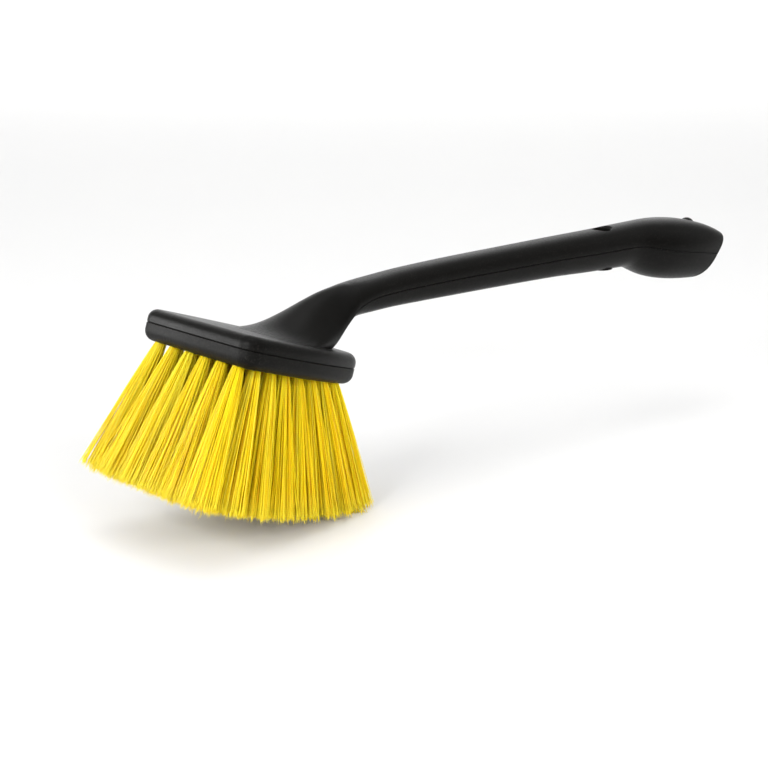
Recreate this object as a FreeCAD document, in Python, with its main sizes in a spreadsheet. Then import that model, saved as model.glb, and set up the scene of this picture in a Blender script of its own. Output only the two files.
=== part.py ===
"""Wheel brush: a moulded handle and cap over a drilled bristle block, with 40 splayed tufts.

Every piece is drawn in the block's own level frame: X runs from the brush's front edge to the
handle's end, Z points away from the bristles, and z = 0 is the joint between cap and block.
One placement then tips all of them onto the floor, resting on the rear tufts' tips.
"""
import FreeCAD, Part
import math
import os
import Sketcher

os.makedirs("parts", exist_ok=True)
doc = FreeCAD.newDocument("wheel_brush")
Vector = FreeCAD.Vector

# ---------------------------------------------------------------- driving dimensions
DIMENSIONS = {
    "rest_pitch": 18.0,        # degrees the block is tipped back when it rests on the rear tufts
    "head_length": 109.6,
    "head_width": 97.2,
    "front_radius": 600.0,     # the slight bow of the front edge
    "corner_radius": 10.0,
    "rear_radius": 32.0,
    "cap_height": 7.8,
    "cap_edge_radius": 5.4,
    "block_height": 9.8,
    "block_edge_radius": 6.0,
    "seam_chamfer": 0.45,
    "cap_wall": 3.0,
    "cap_recess": 5.2,
    "rib_thickness": 1.6,
    "rib_spacing": 22.0,
    "rim_gap": 0.2,
    "rim_thickness": 1.8,
    "rim_height": 2.0,
    "shell_wall": 2.6,
    "lap_depth": 1.3,
    "lap_height": 1.5,
    "seam_gap": 0.5,
    "underside_start": 48.0,
    "neck_end": 64.0,          # station of the joint between head shell and grip
    "eye_start": 234.0,        # the stretch round the hanging hole starts here
    "eye_end": 270.0,          # and ends here, where the knob starts
    "hole_radius": 6.5,
    "hole_wall": 1.6,
    "hole_lip": 1.3,
    "hole_station": 252.0,
    "boss_proud": -0.4,        # how far the hole's boss stands out below the handle, at its middle
    "plug_station": 332.0,
    "plug_dome_radius": 4.0,
    "plug_dome_height": 1.9,
    "plug_shank_radius": 2.2,
    "plug_shank_length": 6.0,
    "facet_top": 356.8,
    "facet_slope": 61.0,       # degrees between the knob's end facet and the block's plane
    "facet_height": 131.5,
    "facet_wall": 2.6,
    "facet_edge_radius": 1.9,
    "tuft_root_radius": 2.9,
    "tuft_tip_radius": 6.8,
    "tuft_length": 76.0,       # from the block's face to the tips, along the tuft
    "tuft_fan": 21.7,          # degrees of lean, front to rear, over half the tuft field
    "tuft_fan_centre": -23.0,  # station at which the tufts stand square to the block
    "tuft_side_fan": 9.9,      # degrees of sideways lean at the edge of the tuft field
    "tuft_hole_depth": 7.0,
    "tuft_inset": 8.5,
    "tuft_pitch": 13.4,
    "row_pitch": 12.0,
    "first_row": -46.4,
    "field_front": 34.2,       # half width of the tuft field at its front row
    "field_rear": 16.0,        # and at its rear row
    "anchor_length": 6.4,
    "anchor_height": 1.6,
    "anchor_thickness": 0.4,
}
ROW_COUNT = 8
TUFT_COLLAR = 2.6              # round stretch of a tuft outside its hole
FIELD_TAPER = 1.6              # how late the tuft field narrows towards the rear

# Handle form: station along X, ridge height, underside height, half width, squareness of the
# section, and how far the section has grown out of the flared neck (0 flare, 1 handle).
HANDLE_STATIONS = (
    (-24.0, 6.0, 2.0, 34.0, 2.0, 0.0),
    (-14.0, 8.6, 2.0, 33.0, 2.0, 0.0),
    (-4.0, 13.2, 2.0, 31.0, 2.0, 0.05),
    (8.0, 22.4, 2.0, 27.5, 2.0, 0.15),
    (20.0, 31.9, 2.0, 23.0, 2.1, 0.30),
    (32.0, 39.8, 2.2, 18.0, 2.2, 0.52),
    (36.0, 41.2, 7.0, 16.4, 2.3, 0.62),
    (40.0, 43.8, 17.6, 15.0, 2.3, 0.72),
    (44.0, 45.0, 24.0, 14.0, 2.4, 0.82),
    (48.0, 46.6, 26.6, 13.3, 2.5, 0.90),
    (52.0, 48.2, 28.2, 12.7, 2.5, 0.95),
    (60.0, 51.2, 30.7, 12.0, 2.6, 1.0),
    (70.0, 55.4, 34.4, 11.5, 2.6, 1.0),
    (84.0, 61.0, 39.2, 11.2, 2.6, 1.0),
    (120.0, 73.9, 50.6, 11.3, 2.6, 1.0),
    (166.0, 89.5, 65.0, 11.9, 2.5, 1.0),
    (210.0, 104.3, 78.5, 12.5, 2.5, 1.0),
    (240.0, 114.3, 86.8, 13.1, 2.4, 1.0),
    (262.0, 122.0, 93.2, 13.4, 2.3, 1.0),
    (277.0, 127.2, 97.0, 14.2, 2.2, 1.0),
    (290.0, 131.4, 95.6, 17.0, 2.2, 1.0),
    (304.0, 135.0, 95.2, 19.4, 2.3, 1.0),
    (320.0, 137.8, 97.2, 20.2, 2.4, 1.0),
    (336.0, 139.2, 100.6, 19.3, 2.6, 1.0),
    (348.0, 139.0, 104.2, 17.6, 2.9, 1.0),
    (358.0, 137.8, 108.0, 15.4, 3.2, 1.0),
    (366.0, 136.0, 111.6, 13.4, 3.4, 1.0),
    (376.0, 133.4, 116.2, 11.4, 3.5, 1.0),
)
HALF_POINTS = 16
LAP_SLACK = 0.1
KNOB_END = HANDLE_STATIONS[-1][0]
FLARE_FOOT = 6.0               # height, inside the cap, at which the flared sections are widest


def make_sheet():
    sheet = doc.addObject("Spreadsheet::Sheet", "dims")
    for row, (name, value) in enumerate(DIMENSIONS.items(), start=1):
        sheet.set(f"A{row}", name)
        sheet.set(f"B{row}", str(value))
        sheet.setAlias(f"B{row}", name)
    doc.recompute()
    return sheet


sheet = make_sheet()


def size(name):
    return float(sheet.get(name))


def bind(item, **expressions):
    for name, expression in expressions.items():
        item.setExpression(name, expression)


# ---------------------------------------------------------------- head outline
def outline_values(inset):
    """Centres and radii of the arcs that make the head's outline, moved in by inset."""
    half_width = size("head_width") / 2 - inset
    front = -size("head_length") / 2 + inset
    rear = size("head_length") / 2 - inset
    front_radius = size("front_radius") - inset
    corner = size("corner_radius") - inset
    rear_radius = size("rear_radius") - inset
    front_centre = front + front_radius
    reach = (front_radius - corner) ** 2 - (half_width - corner) ** 2
    corner_x = front_centre - math.sqrt(reach)
    span = rear - corner_x
    side_radius = (span ** 2 - 2 * span * rear_radius + half_width ** 2) / (2 * (half_width - rear_radius))
    return {
        "half_width": half_width,
        "front_radius": front_radius,
        "front_centre": front_centre,
        "corner": corner,
        "corner_x": corner_x,
        "rear_radius": rear_radius,
        "rear_centre": rear - rear_radius,
        "side_radius": side_radius,
        "side_y": half_width - side_radius,
    }


def arc(centre, radius, start, end):
    """Arc about centre from the direction of point start to that of point end, anticlockwise."""
    first = math.atan2(start.y - centre.y, start.x - centre.x)
    last = math.atan2(end.y - centre.y, end.x - centre.x)
    return Part.ArcOfCircle(Part.Circle(centre, Vector(0, 0, 1), radius), first, last)


def outline_sketch(body, name, inset_expression, inset):
    """Head outline as six tangent arcs, anticlockwise from the front edge's +Y end."""
    sketch = body.newObject("Sketcher::SketchObject", name)
    plane = next(f for f in body.Origin.OriginFeatures if f.Role == "XY_Plane")
    sketch.AttachmentSupport = [(plane, "")]
    sketch.MapMode = "FlatFace"
    v = outline_values(inset)
    front_c = Vector(v["front_centre"], 0, 0)
    rear_c = Vector(v["rear_centre"], 0, 0)
    left_c = Vector(v["corner_x"], v["half_width"] - v["corner"], 0)
    left_side_c = Vector(v["corner_x"], v["side_y"], 0)
    left_front = front_c + (left_c - front_c).normalize() * v["front_radius"]
    left_wide = Vector(v["corner_x"], v["half_width"], 0)
    left_rear = left_side_c + (rear_c - left_side_c).normalize() * v["side_radius"]
    mirror = lambda p: Vector(p.x, -p.y, 0)
    arcs = [
        arc(front_c, v["front_radius"], left_front, mirror(left_front)),
        arc(mirror(left_c), v["corner"], mirror(left_front), mirror(left_wide)),
        arc(mirror(left_side_c), v["side_radius"], mirror(left_wide), mirror(left_rear)),
        arc(rear_c, v["rear_radius"], mirror(left_rear), left_rear),
        arc(left_side_c, v["side_radius"], left_rear, left_wide),
        arc(left_c, v["corner"], left_wide, left_front),
    ]
    sketch.addGeometry(arcs, False)
    constrain = lambda *values: sketch.addConstraint(Sketcher.Constraint(*values))
    for index in range(len(arcs)):
        constrain("Tangent", index, 2, (index + 1) % len(arcs), 1)
    constrain("PointOnObject", 0, 3, -1)
    constrain("PointOnObject", 3, 3, -1)
    constrain("Vertical", 1, 3, 2, 3)
    constrain("Vertical", 5, 3, 4, 3)
    driven = (
        (("Radius", 0, v["front_radius"]), "dims.front_radius"),
        (("Radius", 1, v["corner"]), "dims.corner_radius"),
        (("Radius", 5, v["corner"]), "dims.corner_radius"),
        (("Radius", 3, v["rear_radius"]), "dims.rear_radius"),
        (("DistanceX", -1, 1, 3, 3, v["rear_centre"]), "dims.head_length / 2 - dims.rear_radius"),
        (("DistanceX", -1, 1, 0, 3, v["front_centre"]), "dims.front_radius - dims.head_length / 2"),
        (("DistanceY", -1, 1, 5, 3, left_c.y), "dims.head_width / 2 - dims.corner_radius"),
        (("DistanceY", 1, 3, -1, 1, left_c.y), "dims.head_width / 2 - dims.corner_radius"),
    )
    for values, expression in driven:
        number = constrain(*values)
        if values[0] == "Radius":
            expression = f"{expression} - ({inset_expression})"
        sketch.setExpression(f"Constraints[{number}]", expression)
    doc.recompute()
    return sketch


def head_pad(name, inset_expression, inset, length_expression, downwards=False):
    """Body with one pad of the head outline, up or down from the joint plane."""
    body = doc.addObject("PartDesign::Body", name)
    sketch = outline_sketch(body, f"{name}_outline", inset_expression, inset)
    pad = body.newObject("PartDesign::Pad", f"{name}_pad")
    pad.Profile = sketch
    bind(pad, Length=length_expression)
    pad.Reversed = downwards
    sketch.Visibility = False
    doc.recompute()
    return body, pad


def flat_edges(shape, height):
    """Names of the edges of shape that lie in the plane z = height."""
    names = []
    for index, edge in enumerate(shape.Edges, start=1):
        box = edge.BoundBox
        if abs(box.ZMin - height) < 1e-4 and abs(box.ZMax - height) < 1e-4:
            names.append(f"Edge{index}")
    return names


def dress(body, kind, base, height, **expressions):
    """Fillet or chamfer on the edges of base that lie at one height."""
    feature = body.newObject(f"PartDesign::{kind}", f"{body.Name}_{kind.lower()}")
    feature.Base = (base, flat_edges(base.Shape, height))
    bind(feature, **expressions)
    base.Visibility = False
    doc.recompute()
    return feature


def boolean(kind, name, base, tool):
    result = doc.addObject(f"Part::{kind}", name)
    result.Base = base
    result.Tool = tool
    return result


def together(name, items):
    result = doc.addObject("Part::MultiFuse", name)
    result.Shapes = list(items)
    return result


def grouped(name, items):
    """Separate solids kept side by side in one shape."""
    result = doc.addObject("Part::Compound", name)
    result.Links = list(items)
    return result


# ---------------------------------------------------------------- handle form
def through_stations(column, x):
    """Value of one column of HANDLE_STATIONS at x, on a cubic through the stations."""
    xs = [station[0] for station in HANDLE_STATIONS]
    ys = [station[column] for station in HANDLE_STATIONS]
    x = min(max(x, xs[0]), xs[-1])
    i = max(k for k in range(len(xs) - 1) if xs[k] <= x)

    def slope(k):
        low = max(k - 1, 0)
        high = min(k + 1, len(xs) - 1)
        return (ys[high] - ys[low]) / (xs[high] - xs[low])

    width = xs[i + 1] - xs[i]
    f = (x - xs[i]) / width
    return (
        ys[i] * (2 * f ** 3 - 3 * f ** 2 + 1)
        + slope(i) * width * (f ** 3 - 2 * f ** 2 + f)
        + ys[i + 1] * (3 * f ** 2 - 2 * f ** 3)
        + slope(i + 1) * width * (f ** 3 - f ** 2)
    )


def smooth(column, x):
    """The same value, evened out over a few millimetres so that the surface shows no ripple."""
    weights = ((-6.0, 1), (-3.0, 4), (0.0, 6), (3.0, 4), (6.0, 1))
    total = sum(weight for _, weight in weights)
    return sum(weight * through_stations(column, x + shift) for shift, weight in weights) / total


def parting_height(x):
    """Height of the joint line between the handle's two halves."""
    middle = (smooth(1, x) + smooth(2, x)) / 2
    grown = smooth(5, x)
    return FLARE_FOOT * (1 - grown) + middle * grown


def half_section(x, inset, base, upward):
    """Points of one half of the handle's section at x, from +Y to -Y, moved in by inset."""
    limit = smooth(1, x) - inset if upward else smooth(2, x + inset) + inset
    half_width = smooth(3, x) - inset
    squareness = smooth(4, x)
    grown = smooth(5, x) if upward else 1.0
    points = []
    for index in range(HALF_POINTS + 1):
        across = math.cos(math.pi * index / HALF_POINTS)
        handle = (1 - abs(across) ** squareness) ** (1 / squareness)
        flare = max(0.0, math.cos(math.pi * across / 2)) ** 1.5
        rise = grown * handle + (1 - grown) * flare
        points.append(Vector(x, half_width * across, base + (limit - base) * rise))
    return points


def spline(points):
    curve = Part.BSplineCurve()
    curve.interpolate(points)
    return curve.toShape()


def outer_section(x):
    """Whole outer section of neck or handle at x: two curves, a joint gap apart."""
    half_gap = Vector(0, 0, size("seam_gap") / 2)
    base = parting_height(x)
    upper = half_section(x, 0.0, base + half_gap.z, True)
    lower = half_section(x, 0.0, base - half_gap.z, False)
    ends = [Part.makeLine(upper[-1], lower[-1]), Part.makeLine(lower[0], upper[0])]
    return Part.Wire([spline(upper), ends[0], spline(lower[::-1]), ends[1]])


def inner_section(x):
    """Whole section of the hollow in neck or handle at x, its halves meeting at the lap."""
    lap = parting_height(x) - size("lap_height")
    upper = half_section(x, size("shell_wall"), lap, True)
    lower = half_section(x, size("shell_wall"), lap, False)
    return Part.Wire([spline(upper), spline(lower[::-1])])


def shell_section(x, upward):
    """Section of one handle half at x: outer curve, stepped lap, inner curve, stepped lap."""
    middle = parting_height(x)
    sign = 1 if upward else -1
    slack = 0.0 if upward else LAP_SLACK
    face = middle + sign * size("seam_gap") / 2
    lap = middle - size("lap_height") - slack
    outer = half_section(x, 0.0, face, upward)
    inner = half_section(x, size("shell_wall"), lap, upward)
    step = smooth(3, x) - size("lap_depth") + slack
    corners = [Vector(x, side * step, height) for side, height in ((-1, face), (-1, lap), (1, lap), (1, face))]
    edges = [spline(outer)]
    edges += [Part.makeLine(a, b) for a, b in ((outer[-1], corners[0]), (corners[0], corners[1]))]
    edges += [Part.makeLine(corners[1], inner[-1]), spline(inner[::-1])]
    edges += [Part.makeLine(a, b) for a, b in ((inner[0], corners[2]), (corners[2], corners[3]))]
    edges.append(Part.makeLine(corners[3], outer[0]))
    return Part.Wire(edges)


def steps(start, end, pitch):
    """Even stations from start to end, about pitch apart."""
    count = max(1, round((end - start) / pitch))
    return [start + (end - start) * k / count for k in range(count + 1)]


def loft(name, wires):
    feature = doc.addObject("Part::Feature", name)
    feature.Shape = Part.makeLoft(wires, True, False)
    return feature


# ---------------------------------------------------------------- shells and block
def ribs():
    """Crossed stiffening ribs inside the cap, kept clear of the rim that enters it."""
    bars = []
    for axis in ("lengthwise", "crosswise"):
        for step in (-1, 0, 1):
            bar = doc.addObject("Part::Box", f"rib_{axis}_{step + 2}")
            along, across = ("Length", "Width") if axis == "lengthwise" else ("Width", "Length")
            offset = f"{step} * dims.rib_spacing - dims.rib_thickness / 2"
            slot = "y" if axis == "lengthwise" else "x"
            other = "x" if axis == "lengthwise" else "y"
            bind(bar, **{
                along: "dims.head_length",
                across: "dims.rib_thickness",
                "Height": "dims.cap_recess",
                f"Placement.Base.{slot}": offset,
                f"Placement.Base.{other}": "-dims.head_length / 2",
            })
            bars.append(bar)
    grid = together("rib_grid", bars)
    field, _ = head_pad("rib_field", "dims.cap_wall + 2.2", size("cap_wall") + 2.2, "dims.cap_recess")
    return boolean("Common", "cap_ribs", grid, field)


def hang_hole_frame():
    """Middle of the hanging hole, on the handle's joint line, and its direction."""
    lean = math.radians(size("rest_pitch"))
    middle = Vector(size("hole_station"), 0, parting_height(size("hole_station")))
    return middle, Vector(-math.sin(lean), 0, math.cos(lean))


def along(point, direction):
    return FreeCAD.Placement(point, FreeCAD.Rotation(Vector(0, 0, 1), direction))


def hang_hole():
    """Drilled space of the hanging hole with a countersunk upper mouth."""
    middle, up = hang_hole_frame()
    reach = 30.0
    drill = doc.addObject("Part::Cylinder", "hang_drill")
    bind(drill, Radius="dims.hole_radius", Height=f"{2 * reach}")
    drill.Placement = along(middle - up * reach, up)
    half_depth = (smooth(1, middle.x) - smooth(2, middle.x)) / 2 * up.z
    lip = doc.addObject("Part::Cone", "hang_lip")
    bind(
        lip,
        Radius1="dims.hole_radius",
        Radius2="dims.hole_radius + 2 * dims.hole_lip",
        Height="2 * dims.hole_lip",
    )
    lip.Placement = along(middle + up * (half_depth - 1.1 * size("hole_lip")), up)
    return together("hang_hole", [drill, lip])


def hang_boss(name, upward):
    """Tube round the hanging hole: up into the top wall, or down through the underside."""
    middle, up = hang_hole_frame()
    direction = up if upward else up * -1
    half_depth = (smooth(1, middle.x) - smooth(2, middle.x)) / 2 * up.z
    boss = doc.addObject("Part::Cylinder", name)
    end = "- 0.8 * dims.shell_wall" if upward else "+ dims.boss_proud"
    bind(boss, Radius="dims.hole_radius + dims.hole_wall", Height=f"{half_depth} {end} - dims.seam_gap / 2")
    boss.Placement = along(middle + direction * (size("seam_gap") / 2), direction)
    return boss


def plug_seat_height():
    return smooth(1, size("plug_station")) - 0.25


def vent_plug():
    """Push-in plug with a low dome that closes the vent on top of the knob."""
    seat = plug_seat_height()
    shank = doc.addObject("Part::Cylinder", "plug_shank")
    bind(shank, Radius="dims.plug_shank_radius", Height="dims.plug_shank_length")
    shank.Placement.Base = Vector(size("plug_station"), 0, seat - size("plug_shank_length"))
    rise = size("plug_dome_height")
    sphere = (size("plug_dome_radius") ** 2 + rise ** 2) / (2 * rise)
    dome = doc.addObject("Part::Sphere", "plug_dome")
    square = "(dims.plug_dome_radius ^ 2 + dims.plug_dome_height ^ 2)"
    bind(dome, Radius=f"{square} / (2 * dims.plug_dome_height)")
    dome.Angle1 = math.degrees(math.asin((sphere - rise) / sphere))
    dome.Placement.Base = Vector(size("plug_station"), 0, seat - (sphere - rise))
    return together("vent_plug", [shank, dome])


def plug_space():
    """Vent hole and the shallow seat round it."""
    seat = plug_seat_height()
    hole = doc.addObject("Part::Cylinder", "vent_hole")
    bind(hole, Radius="dims.plug_shank_radius", Height="12")
    hole.Placement.Base = Vector(size("plug_station"), 0, seat - 8)
    recess = doc.addObject("Part::Cylinder", "vent_seat")
    bind(recess, Radius="dims.plug_dome_radius", Height="6")
    recess.Placement.Base = Vector(size("plug_station"), 0, seat)
    return together("vent_space", [hole, recess])


def facet_slab(name, depth, thickness):
    """Slab square to the knob's end facet, starting at depth inside it and reaching outward."""
    lean = math.radians(size("facet_slope"))
    outward = Vector(math.sin(lean), 0, -math.cos(lean))
    on_facet = Vector(size("facet_top"), 0, size("facet_height"))
    box = doc.addObject("Part::Box", name)
    side = 120.0
    bind(box, Length=f"{side}", Width=f"{side}", Height=f"{thickness}")
    turn = FreeCAD.Rotation(Vector(0, 0, 1), outward)
    corner = on_facet - outward * depth + turn.multVec(Vector(-side / 2, -side / 2, 0))
    box.Placement = FreeCAD.Placement(corner, turn)
    return box


def end_cap():
    """Flat plate with a rounded rim that closes the knob's slanted end."""
    knob = loft("knob_end", [outer_section(x) for x in steps(340.0, KNOB_END, 4.0)])
    plate = boolean("Common", "end_plate", knob, facet_slab("cap_slab", size("facet_wall"), size("facet_wall")))
    doc.recompute()
    lean = math.radians(size("facet_slope"))
    outward = Vector(math.sin(lean), 0, -math.cos(lean))
    on_facet = Vector(size("facet_top"), 0, size("facet_height"))
    rim = []
    for index, edge in enumerate(plate.Shape.Edges, start=1):
        if all(abs((point - on_facet).dot(outward)) < 1e-3 for point in edge.discretize(5)):
            rim.append((index, size("facet_edge_radius"), size("facet_edge_radius")))
    cap = doc.addObject("Part::Fillet", "end_cap")
    cap.Base = plate
    cap.Edges = rim
    return cap


def handle_half(name, upward, holes, extra):
    """One half of the handle, from the neck to the end cap, as a lofted wall with a lap joint."""
    stations = steps(size("underside_start"), KNOB_END, 9.0)
    wall = loft(f"{name}_wall", [shell_section(x, upward) for x in stations])
    boss = hang_boss(f"{name}_boss", upward)
    joined = together(f"{name}_joined", extra + [wall, boss])
    ended = boolean("Cut", f"{name}_ended", joined, facet_slab(f"{name}_end", size("facet_wall"), 60.0))
    return boolean("Cut", name, ended, holes)


def cap_and_neck():
    """Cap over the block and the flared neck, hollow, with ribs."""
    cap, pad = head_pad("cap", "0", 0.0, "dims.cap_height")
    top = dress(cap, "Fillet", pad, size("cap_height"), Radius="dims.cap_edge_radius")
    dress(cap, "Chamfer", top, 0.0, Size="dims.seam_chamfer")
    recess, _ = head_pad("cap_recess", "dims.cap_wall", size("cap_wall"), "dims.cap_recess")
    cavity = boolean("Cut", "cap_cavity", recess, ribs())
    wall = size("shell_wall")
    start = HANDLE_STATIONS[0][0]
    end = size("underside_start")
    neck = loft("neck", [outer_section(x) for x in steps(start, end, 4.0)])
    hollow = loft("neck_hollow", [inner_section(x) for x in steps(start + 5 * wall, end, 4.0)])
    outside = boolean("Fuse", "cap_and_neck", cap, neck)
    opened = boolean("Cut", "cap_opened", outside, cavity)
    return boolean("Cut", "cap_hollowed", opened, hollow)


def stretch(name, whole, start, end):
    """The part of a moulding between two stations, given as expressions."""
    side = 400.0
    box = doc.addObject("Part::Box", f"{name}_span")
    bind(box, Length=f"({end}) - ({start})", Width=f"{side}", Height=f"{side}")
    bind(box, **{"Placement.Base.x": start, "Placement.Base.y": f"-{side} / 2", "Placement.Base.z": f"-{side} / 2"})
    return boolean("Common", name, whole, box)


def shells():
    """Head shell, grip, hanging eye and knob, the last three in an upper and a lower half."""
    holes = grouped("handle_holes", [hang_hole(), plug_space()])
    upper = handle_half("upper_whole", True, holes, [cap_and_neck()])
    lower = handle_half("lower_whole", False, holes, [])
    reach = f"{KNOB_END} + 10"
    return [
        stretch("head_shell", upper, "-dims.head_length", "dims.neck_end"),
        stretch("grip_upper", upper, "dims.neck_end", "dims.eye_start"),
        stretch("hang_eye_upper", upper, "dims.eye_start", "dims.eye_end"),
        stretch("knob_upper", upper, "dims.eye_end", reach),
        stretch("grip_lower", lower, "0", "dims.eye_start"),
        stretch("hang_eye_lower", lower, "dims.eye_start", "dims.eye_end"),
        stretch("knob_lower", lower, "dims.eye_end", reach),
    ]


# ---------------------------------------------------------------- tufts
def field_half_width(row):
    """Half width of the tuft field at one row: widest in front, narrowing towards the rear."""
    taper = (row / (ROW_COUNT - 1)) ** FIELD_TAPER
    return size("field_front") * (1 - taper) + size("field_rear") * taper


def tuft_rows():
    """Places of the tufts on the block's lower face, row by row from the front."""
    rows = []
    for row in range(ROW_COUNT):
        x = size("first_row") + row * size("row_pitch")
        half_width = field_half_width(row)
        gaps = round(2 * half_width / size("tuft_pitch"))
        rows.append([(x, half_width * (2 * k / gaps - 1)) for k in range(gaps + 1)])
    return rows


def tuft_direction(x, y):
    """Unit vector along a tuft, leaning outward in proportion to its place in the field."""
    reach_x = size("head_length") / 2 - size("tuft_inset")
    reach_y = size("head_width") / 2 - size("tuft_inset")
    lean_x = math.tan(math.radians(size("tuft_fan"))) * (x - size("tuft_fan_centre")) / reach_x
    lean_y = math.tan(math.radians(size("tuft_side_fan"))) * y / reach_y
    return Vector(lean_x, lean_y, -1).normalize()


def tuft_root_cylinder(name, point, direction, beyond):
    """Round stretch of a tuft or of its hole, from the hole's bottom to beyond the block's face."""
    root = doc.addObject("Part::Cylinder", name)
    bind(root, Radius="dims.tuft_root_radius", Height=f"dims.tuft_hole_depth + {beyond}")
    root.Placement = along(point - direction * size("tuft_hole_depth"), direction)
    return root


def anchor(name, point, direction):
    """Flat wire anchor across the bottom of a tuft's hole."""
    box = doc.addObject("Part::Box", name)
    bind(box, Length="dims.anchor_length", Width="dims.anchor_thickness", Height="dims.anchor_height")
    frame = along(point - direction * (size("tuft_hole_depth") - 0.2), direction)
    half = Vector(size("anchor_length") / 2, size("anchor_thickness") / 2, 0)
    box.Placement = frame.multiply(FreeCAD.Placement(half * -1, FreeCAD.Rotation()))
    return box


def tuft(name, point, direction, wire_anchor):
    """One bundle of bristle: a round root, a bundle that widens to its tips, a slot for the anchor."""
    root = tuft_root_cylinder(f"{name}_root", point, direction, TUFT_COLLAR)
    bundle = doc.addObject("Part::Cone", f"{name}_bundle")
    bind(
        bundle,
        Radius1="dims.tuft_root_radius",
        Radius2="dims.tuft_tip_radius",
        Height=f"dims.tuft_length - {TUFT_COLLAR}",
    )
    bundle.Placement = along(point + direction * TUFT_COLLAR, direction)
    return boolean("Cut", name, together(f"{name}_whole", [root, bundle]), wire_anchor)


def tufts_and_anchors():
    """All tufts and their anchors, with the drilled spaces for the block."""
    finished = []
    drills = []
    anchors = {"front": [], "rear": []}
    for row, places in enumerate(tuft_rows(), start=1):
        for number, (x, y) in enumerate(places, start=1):
            point = Vector(x, y, -size("block_height"))
            direction = tuft_direction(x, y)
            place = f"{row}_{number}"
            drills.append(tuft_root_cylinder(f"drill_{place}", point, direction, 6.0))
            wire_anchor = anchor(f"anchor_{place}", point, direction)
            anchors["front" if row <= ROW_COUNT // 2 else "rear"].append(wire_anchor)
            finished.append(tuft(f"tuft_{place}", point, direction, wire_anchor))
    groups = [grouped(f"anchors_{end}", wires) for end, wires in anchors.items()]
    return finished, groups, drills


def bristle_block(drills, anchors):
    """Lower half of the head: blind tuft holes with anchor slots below, a rim above for the cap."""
    blank, pad = head_pad("block_blank", "0", 0.0, "dims.block_height", downwards=True)
    edge = dress(blank, "Fillet", pad, -size("block_height"), Radius="dims.block_edge_radius")
    dress(blank, "Chamfer", edge, 0.0, Size="dims.seam_chamfer")
    outer_inset = size("cap_wall") + size("rim_gap")
    rim, _ = head_pad("rim_blank", "dims.cap_wall + dims.rim_gap", outer_inset, "dims.rim_height")
    inner = "dims.cap_wall + dims.rim_gap + dims.rim_thickness"
    core, _ = head_pad("rim_core", inner, outer_inset + size("rim_thickness"), "dims.rim_height")
    ring = boolean("Cut", "rim", rim, core)
    blank_with_rim = together("block_with_rim", [blank, ring])
    drilled = boolean("Cut", "block_drilled", blank_with_rim, grouped("tuft_holes", drills))
    return boolean("Cut", "bristle_block", drilled, grouped("anchor_slots", anchors))


# ---------------------------------------------------------------- placing, checks and export
def placed(items):
    """Tip every sub-part onto the floor, with the origin under the middle of the whole brush."""
    turn = FreeCAD.Placement(Vector(), FreeCAD.Rotation(Vector(0, 1, 0), size("rest_pitch")))
    points = []
    for item in items:
        shape = item.Shape.copy()
        shape.Placement = turn.multiply(shape.Placement)
        points += shape.tessellate(0.05)[0]
    low = min(point.z for point in points)
    middle = (min(point.x for point in points) + max(point.x for point in points)) / 2
    rest = FreeCAD.Placement(Vector(-middle, 0, -low), turn.Rotation)
    for item in items:
        item.Placement = rest
    doc.recompute()
    return rest


def check_document(items):
    for item in doc.Objects:
        if "Invalid" in item.State or "Error" in item.State:
            raise RuntimeError(f"{item.Name} is {item.State}")
    for item in items:
        if item.Shape.isNull() or not item.Shape.isValid() or item.Shape.Volume <= 0:
            raise RuntimeError(f"{item.Label} has no sound shape")


def main():
    tufts, anchors, drills = tufts_and_anchors()
    items = shells() + [end_cap(), bristle_block(drills, anchors), vent_plug()] + tufts + anchors
    doc.recompute()
    check_document(items)
    rest = placed(items)
    check_document(items)
    for item in items:
        item.Label = item.Name
        item.Shape.exportStep(f"parts/{item.Label}.step")
    middle, up = hang_hole_frame()
    print("sub-parts", len(items), "rest", rest)
    print("hang hole at", rest.multVec(middle), "along", rest.Rotation.multVec(up))


main()
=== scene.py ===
"""Wheel brush: moulded black shells from the CAD, and every tuft as real filaments."""
import math

import bpy
import numpy as np
from mathutils import Matrix, Vector


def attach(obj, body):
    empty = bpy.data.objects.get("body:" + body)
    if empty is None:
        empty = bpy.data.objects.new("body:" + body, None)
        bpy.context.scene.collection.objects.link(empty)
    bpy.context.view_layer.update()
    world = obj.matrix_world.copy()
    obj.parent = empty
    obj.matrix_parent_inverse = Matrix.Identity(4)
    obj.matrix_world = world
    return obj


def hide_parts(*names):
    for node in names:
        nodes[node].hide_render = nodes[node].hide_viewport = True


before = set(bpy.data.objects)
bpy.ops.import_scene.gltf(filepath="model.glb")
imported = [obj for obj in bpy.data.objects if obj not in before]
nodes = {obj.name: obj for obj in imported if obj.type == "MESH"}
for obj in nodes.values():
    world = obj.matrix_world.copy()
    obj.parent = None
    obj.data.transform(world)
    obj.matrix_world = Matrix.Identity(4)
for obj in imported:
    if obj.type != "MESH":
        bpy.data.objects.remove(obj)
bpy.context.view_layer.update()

MM = 0.001
BLOCK_CENTRE = Vector((-0.1466, 0.0, 0.0970))    # middle of the joint between cap and block
PITCHED_UP = (math.sin(math.radians(18)), 0.0, math.cos(math.radians(18)))   # away from the bristle

# Tufts
FIRST_SEED = 4200               # the random seed of the first tuft; each next tuft takes the next one
TUFT_HOLE_DEPTH = 7.0 * MM      # root of each tuft inside the block
TUFT_LENGTH = 76.0 * MM         # from the block's face to the tips
ROOT_RADIUS = 2.75 * MM
TIP_RADIUS = 10.4 * MM
SPREAD_POWER = 0.80             # under 1, a tuft widens fastest just below the block
PACKING_POWER = 0.56            # over 0.5, the filaments gather a little towards the tuft's middle
INTO_HOLE = -2.0 * MM           # where the filaments start, measured from the block's face
END_BAND = 0.6 * MM             # how near the end of a CAD tuft its end face is looked for

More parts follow.
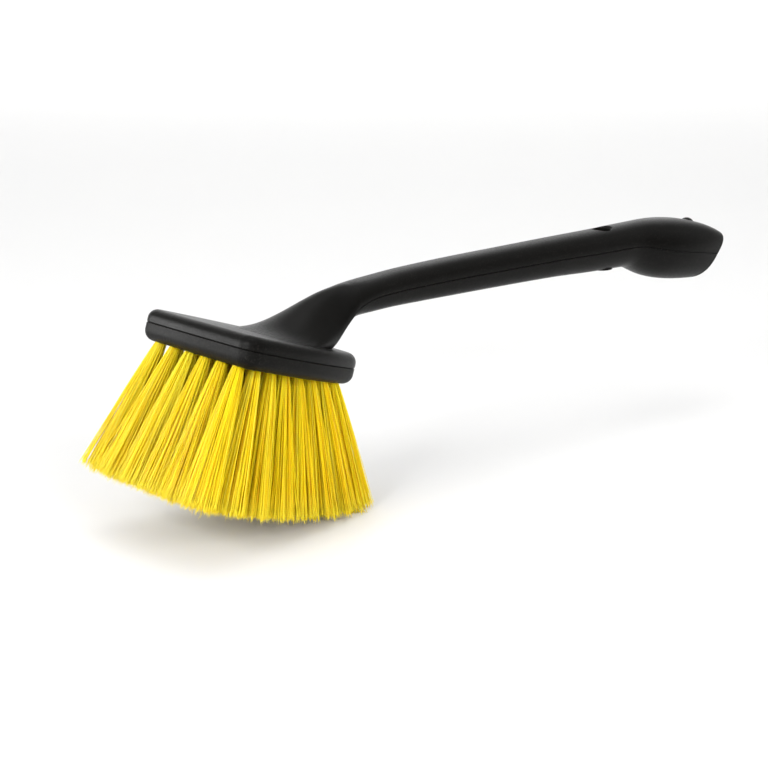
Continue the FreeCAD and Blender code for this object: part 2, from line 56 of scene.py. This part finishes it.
# Filaments
FILAMENTS = 230                 # in one tuft
FILAMENT_RADIUS = 0.21 * MM
RINGS = 11                      # cross-sections along one filament
SIDES = 4                       # of one filament or split end
LENGTH_SPREAD = 0.012           # share of the tuft's length
STRAY_SHARE = 0.025             # of the filaments, which leave their bundle
STRAY_REACH = (1.15, 1.5)       # how far out the stray ones end, against the others
TURN = 0.12                     # radians that a filament winds round its tuft
WANDER = 0.55 * MM              # sideways drift at the tip
CRIMP = 0.10 * MM
CRIMP_WAVES = (9, 15)           # radians of crimp over a filament's length
TIP_TAPER = 0.45                # share of the radius lost over the last tenth of the length
FLOOR_GAP = 0.25 * MM           # filaments stay this far above the floor

# Split ends
FLAGS = 3                       # of one filament
FLAG_LENGTH = 7.0 * MM
FLAG_OVERLAP = 0.55             # share of that length which lies along the filament
FLAG_REACH = (0.55, 0.85)       # their own length, as a share of FLAG_LENGTH
FLAG_SPLAY = 0.09
FLAG_RADII = [0.10 * MM, 0.09 * MM, 0.075 * MM, 0.045 * MM]    # from root to tip
FLAG_FLOOR_GAP = 0.15 * MM
FLAG_PALER = 0.12               # how much paler than their filament

# Room
WORLD_STRENGTH = 0.74
DARK_SIDE = 0.72                # how much darker the room is where the camera stands


# ---------------------------------------------------------------- node materials
class Nodes:
    """Short way to lay out one material's shader nodes."""

    def __init__(self, name):
        self.material = bpy.data.materials.new(name)
        self.material.use_nodes = True
        self.tree = self.material.node_tree
        self.shader = self.tree.nodes["Principled BSDF"]
        self.output = self.tree.nodes["Material Output"]

    def add(self, kind, inputs=None, **settings):
        node = self.tree.nodes.new(kind)
        for name, value in settings.items():
            setattr(node, name, value)
        for name, value in (inputs or {}).items():
            self.put(node, name, value)
        return node

    def put(self, node, name, value):
        socket = node.inputs[name]
        if isinstance(value, bpy.types.NodeSocket):
            self.tree.links.new(value, socket)
        else:
            socket.default_value = value

    def surface(self, **inputs):
        for name, value in inputs.items():
            self.put(self.shader, name.replace("_", " "), value)

    def position(self):
        return self.add("ShaderNodeTexCoord").outputs["Object"]

    def noise(self, scale, detail=3.0, roughness=0.5, vector=None):
        inputs = {"Scale": scale, "Detail": detail, "Roughness": roughness}
        inputs["Vector"] = vector or self.position()
        return self.add("ShaderNodeTexNoise", inputs).outputs["Fac"]

    def remap(self, value, low, high, start=0.0, end=1.0):
        inputs = {"Value": value, "From Min": start, "From Max": end, "To Min": low, "To Max": high}
        return self.add("ShaderNodeMapRange", inputs).outputs["Result"]

    def math(self, operation, a, b):
        node = self.add("ShaderNodeMath", operation=operation)
        self.put(node, 0, a)
        self.put(node, 1, b)
        return node.outputs[0]

    def ramp(self, value, stops):
        node = self.add("ShaderNodeValToRGB", {"Fac": value})
        ramp = node.color_ramp
        for index, (place, colour) in enumerate(stops):
            stop = ramp.elements[index] if index < 2 else ramp.elements.new(place)
            stop.position = place
            stop.color = (*colour, 1.0)
        return node.outputs["Color"]

    def blend(self, factor, a, b, mode="MIX"):
        node = self.add("ShaderNodeMix", data_type="RGBA", blend_type=mode)
        for index, value in ((0, factor), (6, a), (7, b)):
            if isinstance(value, bpy.types.NodeSocket):
                self.tree.links.new(value, node.inputs[index])
            elif isinstance(value, tuple):
                node.inputs[index].default_value = (*value, 1.0)
            else:
                node.inputs[index].default_value = value
        return node.outputs[2]

    def bump(self, height, strength, distance, normal=None):
        inputs = {"Height": height, "Strength": strength, "Distance": distance}
        if normal is not None:
            inputs["Normal"] = normal
        return self.add("ShaderNodeBump", inputs).outputs["Normal"]


def moulded_plastic(name, dark, light, grain_depth, roughness, satin_above=None):
    """Moulded black plastic: spark grain, faint flow marks, dust in the grain, rubbed high spots.

    satin_above is the height over the block joint where the grain of a shell gives way to satin.
    """
    n = Nodes(name)
    dust = tuple(c * 6.0 for c in light)
    rubbed_tone = tuple(c * 2.0 for c in light)
    grain = n.noise(1200.0, 2.0, 0.6)
    coarse = n.noise(700.0, 3.0, 0.55)
    flow = n.noise(26.0, 4.0, 0.5)
    patches = n.noise(9.0, 2.0, 0.5)
    rubbed = n.add("ShaderNodeNewGeometry").outputs["Pointiness"]
    tone = n.blend(n.remap(flow, 0.0, 1.0, 0.3, 0.7), dark, light)
    speck_cover = n.remap(n.noise(1000.0, 2.0, 0.7), 0.0, 0.6, 0.55, 0.75)
    strength = 0.8
    if satin_above is not None:
        along_up = n.add("ShaderNodeVectorMath", {0: n.position(), 1: PITCHED_UP}, operation="DOT_PRODUCT")
        joint_height = BLOCK_CENTRE.dot(Vector(PITCHED_UP))
        height = n.math("SUBTRACT", along_up.outputs["Value"], joint_height)
        grained_part = n.remap(height, 1.0, 0.12, satin_above - 0.003, satin_above + 0.006)
        speck_cover = n.math("MULTIPLY", speck_cover, grained_part)
        strength = n.math("MULTIPLY", grained_part, strength)
    speckled = n.blend(speck_cover, tone, dust)
    edge = n.remap(rubbed, 0.0, 0.22, 0.53, 0.62)
    colour = n.blend(edge, speckled, rubbed_tone)
    uneven = n.remap(coarse, -0.05, 0.07, 0.3, 0.7)
    handled = n.remap(patches, -0.05, 0.06, 0.3, 0.7)
    rough = n.math("ADD", uneven, handled)
    fine = n.bump(grain, strength, grain_depth)
    soft = n.bump(flow, 0.25, 0.00012, fine)
    n.surface(
        Base_Color=colour,
        Roughness=n.math("ADD", rough, roughness),
        Specular_IOR_Level=0.10,
        Normal=soft,
    )
    return n.material


def wire_metal(name):
    """Drawn steel wire of the tuft anchors."""
    n = Nodes(name)
    drawn = n.noise(900.0, 3.0, 0.6)
    n.surface(
        Base_Color=n.blend(drawn, (0.38, 0.38, 0.37), (0.62, 0.61, 0.58)),
        Metallic=1.0,
        Roughness=n.remap(drawn, 0.25, 0.45),
        Normal=n.bump(drawn, 0.3, 0.00002),
    )
    return n.material


def filament_yellow(name):
    """Translucent yellow filament, each its own tone, drier towards its flagged tip, where painted light
    makes it paler than the root end, which is left darker as painted shade.
    """
    n = Nodes(name)
    tone = n.add("ShaderNodeAttribute", attribute_name="tone").outputs["Fac"]
    along = n.add("ShaderNodeAttribute", attribute_name="along").outputs["Fac"]
    body = n.ramp(tone, (
        (0.0, (0.97, 0.62, 0.001)),
        (0.25, (0.99, 0.76, 0.002)),
        (0.65, (0.995, 0.87, 0.008)),
        (1.0, (0.998, 0.92, 0.06)),
    ))
    # painted light: over the last part of its length each filament is painted paler, a painted lit tip
    # against a root end kept darker as painted shade
    painted_tip_light = n.blend(n.remap(along, 0.0, 0.4, 0.82, 1.0), body, (0.998, 0.93, 0.07))
    marks = n.noise(420.0, 2.0, 0.5)
    colour = n.blend(n.remap(marks, 0.0, 0.25, 0.45, 0.75), painted_tip_light, (0.98, 0.70, 0.002))
    n.surface(
        Base_Color=colour,
        Roughness=n.remap(along, 0.36, 0.55, 0.7, 1.0),
        Specular_IOR_Level=0.35,
    )
    passed = n.blend(1.0, colour, (1.0, 0.80, 0.50), "MULTIPLY")
    glow = n.add("ShaderNodeBsdfTranslucent", {"Color": passed})
    mixed = n.add("ShaderNodeMixShader", {"Fac": 0.26})
    n.tree.links.new(n.shader.outputs["BSDF"], mixed.inputs[1])
    n.tree.links.new(glow.outputs["BSDF"], mixed.inputs[2])
    n.tree.links.new(mixed.outputs["Shader"], n.output.inputs["Surface"])
    return n.material


def floor_paint(name):
    """White studio paint with faint clouding and a fine texture."""
    n = Nodes(name)
    cloud = n.noise(3.0, 3.0, 0.5)
    fine = n.noise(220.0, 2.0, 0.5)
    n.surface(
        Base_Color=n.blend(cloud, (0.76, 0.76, 0.76), (0.78, 0.78, 0.775)),
        Roughness=n.remap(cloud, 0.6, 0.7),
        Specular_IOR_Level=0.2,
        Normal=n.bump(fine, 0.05, 0.0001),
    )
    return n.material


# ---------------------------------------------------------------- bristle
def node_points(name):
    """A CAD node's vertices, as rows of x, y and z."""
    mesh = nodes[name].data
    points = np.empty(len(mesh.vertices) * 3)
    mesh.vertices.foreach_get("co", points)
    return points.reshape(-1, 3)


def tuft_axis(name):
    """Root end, on the hole's bottom, and unit direction of a tuft's CAD solid."""
    points = node_points(name)
    centre = points.mean(0)
    direction = np.linalg.svd(points - centre, full_matrices=False)[2][0]
    if direction[2] > 0:
        direction = -direction
    for _ in range(3):
        along = points @ direction
        tip = points[along > along.max() - END_BAND].mean(0)
        root = points[along < along.min() + END_BAND].mean(0)
        direction = (tip - root) / np.linalg.norm(tip - root)
    return root, direction


def side_vectors(direction):
    """Two unit vectors square to a tuft's direction and to each other."""
    first = np.cross(direction, (0.0, 1.0, 0.0))
    first /= np.linalg.norm(first)
    return first, np.cross(direction, first)


def tube_faces(strands, rings):
    """Quads of many open tubes, numbered strand by strand, ring by ring."""
    strand = np.arange(strands)[:, None, None] * rings * SIDES
    ring = np.arange(rings - 1)[None, :, None] * SIDES
    side = np.arange(SIDES)[None, None, :]
    following = (side + 1) % SIDES
    low = strand + ring + side
    right = strand + ring + following
    return np.stack([low, right, right + SIDES, low + SIDES], -1).reshape(-1, 4)


def tubes(paths, radii):
    """Vertices of thin tubes: paths is strands x rings x 3, radii is strands x rings."""
    tangents = np.gradient(paths, axis=1)
    tangents /= np.linalg.norm(tangents, axis=2, keepdims=True)
    first = np.cross(tangents, np.array([0.31, 0.94, 0.12]))
    first /= np.linalg.norm(first, axis=2, keepdims=True)
    second = np.cross(tangents, first)
    angles = np.arange(SIDES) * 2 * math.pi / SIDES
    around = first[:, :, None] * np.cos(angles)[:, None] + second[:, :, None] * np.sin(angles)[:, None]
    return paths[:, :, None] + around * radii[:, :, None, None]


def mesh_object(name, vertices, faces, attributes):
    """A smooth-shaded mesh of quads, with one number per vertex for each attribute."""
    mesh = bpy.data.meshes.new(name)
    mesh.vertices.add(len(vertices))
    mesh.vertices.foreach_set("co", vertices.astype(np.float32).ravel())
    mesh.loops.add(faces.size)
    mesh.loops.foreach_set("vertex_index", faces.astype(np.int32).ravel())
    mesh.polygons.add(len(faces))
    mesh.polygons.foreach_set("loop_start", np.arange(0, faces.size, 4, dtype=np.int32))
    mesh.polygons.foreach_set("loop_total", np.full(len(faces), 4, dtype=np.int32))
    mesh.update(calc_edges=True)
    mesh.polygons.foreach_set("use_smooth", np.ones(len(faces), dtype=bool))
    for key, values in attributes.items():
        attribute = mesh.attributes.new(key, "FLOAT", "POINT")
        attribute.data.foreach_set("value", values.astype(np.float32).ravel())
    obj = bpy.data.objects.new(name, mesh)
    bpy.context.scene.collection.objects.link(obj)
    return obj


def filament_paths(root, direction, random):
    """Centre lines of one tuft's filaments, packed in the hole and fanning towards the tips."""
    first, second = side_vectors(direction)
    face = root + direction * TUFT_HOLE_DEPTH
    along = np.linspace(0.0, 1.0, RINGS)[None, :]
    disc = random.random(FILAMENTS) ** PACKING_POWER
    angle = random.random(FILAMENTS) * 2 * math.pi
    length = TUFT_LENGTH * (1 + random.normal(0, LENGTH_SPREAD, FILAMENTS))
    reach = INTO_HOLE + along * (length[:, None] - INTO_HOLE)
    spread = ROOT_RADIUS + (TIP_RADIUS - ROOT_RADIUS) * along ** SPREAD_POWER
    leaves = random.random(FILAMENTS) < STRAY_SHARE
    stray = np.where(leaves, random.uniform(*STRAY_REACH, FILAMENTS), 1.0)
    radius = disc[:, None] * spread * (1 + (stray[:, None] - 1) * along ** 2)
    turn = angle[:, None] + random.normal(0, TURN, FILAMENTS)[:, None] * along
    wander = random.normal(0, WANDER, (2, FILAMENTS, 1)) * along ** 1.6
    waves = random.uniform(*CRIMP_WAVES, (2, FILAMENTS, 1))
    phase = random.uniform(0, 6.3, (2, FILAMENTS, 1))
    crimp = CRIMP * np.sin(along * waves + phase)
    across = radius * np.cos(turn) + wander[0] + crimp[0] * along
    over = radius * np.sin(turn) + wander[1] + crimp[1] * along
    paths = face + direction * reach[..., None] + first * across[..., None] + second * over[..., None]
    paths[..., 2] = np.maximum(paths[..., 2], FLOOR_GAP)
    return paths


def flag_paths(paths, random):
    """Split ends: short fine fibres that leave each filament's tip at slight angles."""
    end = paths[:, -1]
    tangent = end - paths[:, -2]
    tangent /= np.linalg.norm(tangent, axis=1, keepdims=True)
    start = end - tangent * FLAG_LENGTH * FLAG_OVERLAP
    steps = np.linspace(0, 1, len(FLAG_RADII))[None, None, :, None]
    splay = random.normal(0, FLAG_SPLAY, (len(paths), FLAGS, 1, 3))
    reach = FLAG_LENGTH * random.uniform(*FLAG_REACH, (len(paths), FLAGS, 1, 1))
    fibres = start[:, None, None] + (tangent[:, None, None] + splay * steps) * reach * steps
    fibres = fibres.reshape(-1, len(FLAG_RADII), 3)
    fibres[..., 2] = np.maximum(fibres[..., 2], FLAG_FLOOR_GAP)
    return fibres


def tuft_piece(name, index):
    """All filaments and split ends of one tuft as one mesh."""
    random = np.random.default_rng(FIRST_SEED + index)
    root, direction = tuft_axis(name)
    paths = filament_paths(root, direction, random)
    along = np.broadcast_to(np.linspace(0, 1, RINGS), (FILAMENTS, RINGS))
    taper = 1 - TIP_TAPER * np.clip((along - 0.9) / 0.1, 0, 1)
    body = tubes(paths, FILAMENT_RADIUS * random.uniform(0.85, 1.15, (FILAMENTS, 1)) * taper)
    tuft_tone = random.normal(0, 0.05)
    tone = np.clip(random.normal(0.5, 0.24, FILAMENTS) + tuft_tone, 0, 1)
    flags = flag_paths(paths, random)
    fine = tubes(flags, np.broadcast_to(FLAG_RADII, (len(flags), len(FLAG_RADII))))
    vertices = np.concatenate([body.reshape(-1, 3), fine.reshape(-1, 3)])
    body_faces = tube_faces(FILAMENTS, RINGS)
    fine_faces = tube_faces(len(flags), len(FLAG_RADII)) + body.size // 3
    body_tone = np.repeat(tone, RINGS * SIDES)
    fine_tone = np.clip(np.repeat(tone, FLAGS * len(FLAG_RADII) * SIDES) + FLAG_PALER, 0, 1)
    attributes = {
        "tone": np.concatenate([body_tone, fine_tone]),
        "along": np.concatenate([np.repeat(along.ravel(), SIDES), np.ones(fine.size // 3)]),
    }
    piece_name = "bristle_" + name.removeprefix("tuft_")
    return mesh_object(piece_name, vertices, np.concatenate([body_faces, fine_faces]), attributes)


# ---------------------------------------------------------------- assembly of the looks
satin = moulded_plastic(
    "satin_black", dark=(0.0016, 0.0015, 0.0013), light=(0.0030, 0.0028, 0.0024),
    grain_depth=0.04 * MM, roughness=0.36,
)
head = moulded_plastic(
    "head_black", dark=(0.0016, 0.0015, 0.0013), light=(0.0032, 0.0030, 0.0025),
    grain_depth=0.16 * MM, roughness=0.36, satin_above=9 * MM,
)
grained = moulded_plastic(
    "grained_black", dark=(0.0020, 0.0019, 0.0016), light=(0.0042, 0.0040, 0.0034),
    grain_depth=0.16 * MM, roughness=0.48,
)
plug = moulded_plastic(
    "plug_black", dark=(0.006, 0.006, 0.006), light=(0.010, 0.010, 0.009),
    grain_depth=0.02 * MM, roughness=0.30,
)
steel = wire_metal("anchor_steel")
yellow = filament_yellow("filament_yellow")

CAD_FINISH = {
    "head_shell": head,
    "grip_upper": satin,
    "hang_eye_upper": satin,
    "knob_upper": satin,
    "grip_lower": satin,
    "hang_eye_lower": satin,
    "knob_lower": satin,
    "bristle_block": grained,
    "end_cap": grained,
    "vent_plug": plug,
    "anchors_front": steel,
    "anchors_rear": steel,
}


def finish_cad_nodes():
    """Give each carried-over CAD node its material."""
    for name, material in CAD_FINISH.items():
        mesh = nodes[name].data
        mesh.materials.clear()
        mesh.materials.append(material)


def make_bristles():
    """Stand a piece of real filaments in the place of each CAD tuft."""
    for index, name in enumerate(sorted(n for n in nodes if n.startswith("tuft_"))):
        piece = tuft_piece(name, index)
        piece.data.materials.append(yellow)
        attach(piece, "root")
        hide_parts(name)


finish_cad_nodes()
make_bristles()


# ---------------------------------------------------------------- floor, light and camera
AZIMUTH = math.radians(-42.0)
ELEVATION = math.radians(15.0)


def staged_mesh(name, points, faces, material):
    """A smooth mesh that belongs to the studio and not to the brush."""
    mesh = bpy.data.meshes.new(name)
    mesh.from_pydata(points, [], faces)
    for polygon in mesh.polygons:
        polygon.use_smooth = True
    obj = bpy.data.objects.new(name, mesh)
    bpy.context.scene.collection.objects.link(obj)
    mesh.materials.append(material)
    return obj


SWEEP_START = 3.0               # metres behind the brush, where the floor starts to rise
SWEEP_RADIUS = 2.5
SWEEP_STEPS = 12
SWEEP_REACH = 9.0               # to the front, to each side and upward


def studio_sweep():
    """White floor that curves up into a wall well behind the brush, square to the camera's heading."""
    heading = Vector((-math.sin(AZIMUTH), math.cos(AZIMUTH), 0.0))
    across = Vector((heading.y, -heading.x, 0.0))
    profile = [(-SWEEP_REACH, 0.0), (SWEEP_START, 0.0)]
    for step in range(1, SWEEP_STEPS + 1):
        turn = math.pi / 2 * step / SWEEP_STEPS
        profile.append((SWEEP_START + SWEEP_RADIUS * math.sin(turn), SWEEP_RADIUS * (1 - math.cos(turn))))
    profile.append((SWEEP_START + SWEEP_RADIUS, SWEEP_REACH))
    points = []
    for forward, height in profile:
        for side in (-SWEEP_REACH, SWEEP_REACH):
            points.append(heading * forward + across * side + Vector((0, 0, height)))
    faces = [(2 * k, 2 * k + 1, 2 * k + 3, 2 * k + 2) for k in range(len(profile) - 1)]
    staged_mesh("studio_sweep", points, faces, floor_paint("floor_white"))


def area_light(name, place, target, width, depth, power):
    """A white softbox, width by depth metres, turned to face the target."""
    data = bpy.data.lights.new(name, "AREA")
    data.shape = "RECTANGLE"
    data.size = width
    data.size_y = depth
    data.energy = power
    obj = bpy.data.objects.new(name, data)
    bpy.context.scene.collection.objects.link(obj)
    obj.location = place
    obj.rotation_euler = (Vector(target) - Vector(place)).to_track_quat("-Z", "Y").to_euler()
    return obj


def studio_world():
    """Soft light from above and all round, with a darker room on the side where the camera stands."""
    world = bpy.data.worlds.new("studio")
    bpy.context.scene.world = world
    world.use_nodes = True
    tree = world.node_tree
    background = tree.nodes["Background"]
    direction = tree.nodes.new("ShaderNodeTexCoord").outputs["Generated"]
    parts = tree.nodes.new("ShaderNodeSeparateXYZ")
    tree.links.new(direction, parts.inputs[0])

    def mapped(value, start, end, low, high):
        node = tree.nodes.new("ShaderNodeMapRange")
        node.interpolation_type = "SMOOTHSTEP"
        tree.links.new(value, node.inputs["Value"])
        for name, number in (("From Min", start), ("From Max", end), ("To Min", low), ("To Max", high)):
            node.inputs[name].default_value = number
        return node.outputs["Result"]

    def combined(operation, *values):
        node = tree.nodes.new("ShaderNodeMath")
        node.operation = operation
        for socket, value in zip(node.inputs, values):
            if isinstance(value, bpy.types.NodeSocket):
                tree.links.new(value, socket)
            else:
                socket.default_value = value
        return node.outputs[0]

    facing = tree.nodes.new("ShaderNodeVectorMath")
    facing.operation = "DOT_PRODUCT"
    tree.links.new(direction, facing.inputs[0])
    facing.inputs[1].default_value = (-0.45, -0.89, 0.0)
    camera_side = mapped(facing.outputs["Value"], -0.1, 0.75, 0.0, DARK_SIDE)
    low_part = mapped(parts.outputs["Z"], 0.25, 0.75, 1.0, 0.0)
    by_height = mapped(parts.outputs["Z"], -0.1, 0.6, 0.75, 1.0)
    shade = combined("MULTIPLY", camera_side, low_part)
    strength = combined("SUBTRACT", by_height, shade)
    tree.links.new(combined("MULTIPLY", strength, WORLD_STRENGTH), background.inputs["Strength"])
    background.inputs["Color"].default_value = (1.0, 1.0, 1.0, 1.0)


def lights():
    """Softboxes: overhead, left and right of the camera, behind the head's left end, and at the wall."""
    studio_world()
    area_light("overhead", (0.05, 0.15, 1.7), (-0.05, 0.0, 0.05), width=1.4, depth=1.1, power=6.0)
    area_light("key", (-1.85, -0.35, 0.95), (-0.12, 0.0, 0.04), width=1.1, depth=0.9, power=34.0)
    fill = area_light("fill", (-0.25, -1.70, 0.70), (-0.12, 0.0, 0.02), width=1.3, depth=1.0, power=27.0)
    fill.visible_glossy = False             # lights the bristle without a shine on the plastic
    reflector = area_light(
        "reflector", (-1.35, 1.30, 0.42), (-0.15, 0.0, 0.09), width=1.2, depth=0.8, power=26.0
    )
    reflector.visible_diffuse = False       # only a sheen on the head's front face
    area_light("sweep_light", (2.4, 2.6, 3.2), (3.4, 3.8, 1.0), width=5.0, depth=2.0, power=165.0)


EYE_DISTANCE = 1.045            # from the block's centre
EYE_RIGHT = 0.0637              # brings the whole brush into the picture
EYE_DOWN = 0.0190
LENS = 89.06                    # mm, on a 36 mm sensor


def camera():
    """Eye at the front left of the head, a little above it, looking along the brush."""
    level = math.cos(ELEVATION)
    back = Vector((math.sin(AZIMUTH) * level, -math.cos(AZIMUTH) * level, math.sin(ELEVATION)))
    right = Vector((math.cos(AZIMUTH), math.sin(AZIMUTH), 0.0))
    up = back.cross(right)
    eye = BLOCK_CENTRE + back * EYE_DISTANCE + right * EYE_RIGHT - up * EYE_DOWN
    data = bpy.data.cameras.new("camera")
    data.lens = LENS
    data.sensor_width = 36.0
    obj = bpy.data.objects.new("camera", data)
    bpy.context.scene.collection.objects.link(obj)
    turned = Matrix((right, up, back)).transposed().to_4x4()
    obj.matrix_world = Matrix.Translation(eye) @ turned
    bpy.context.scene.camera = obj


studio_sweep()
lights()
camera()
bpy.context.scene.view_settings.view_transform = "Standard"
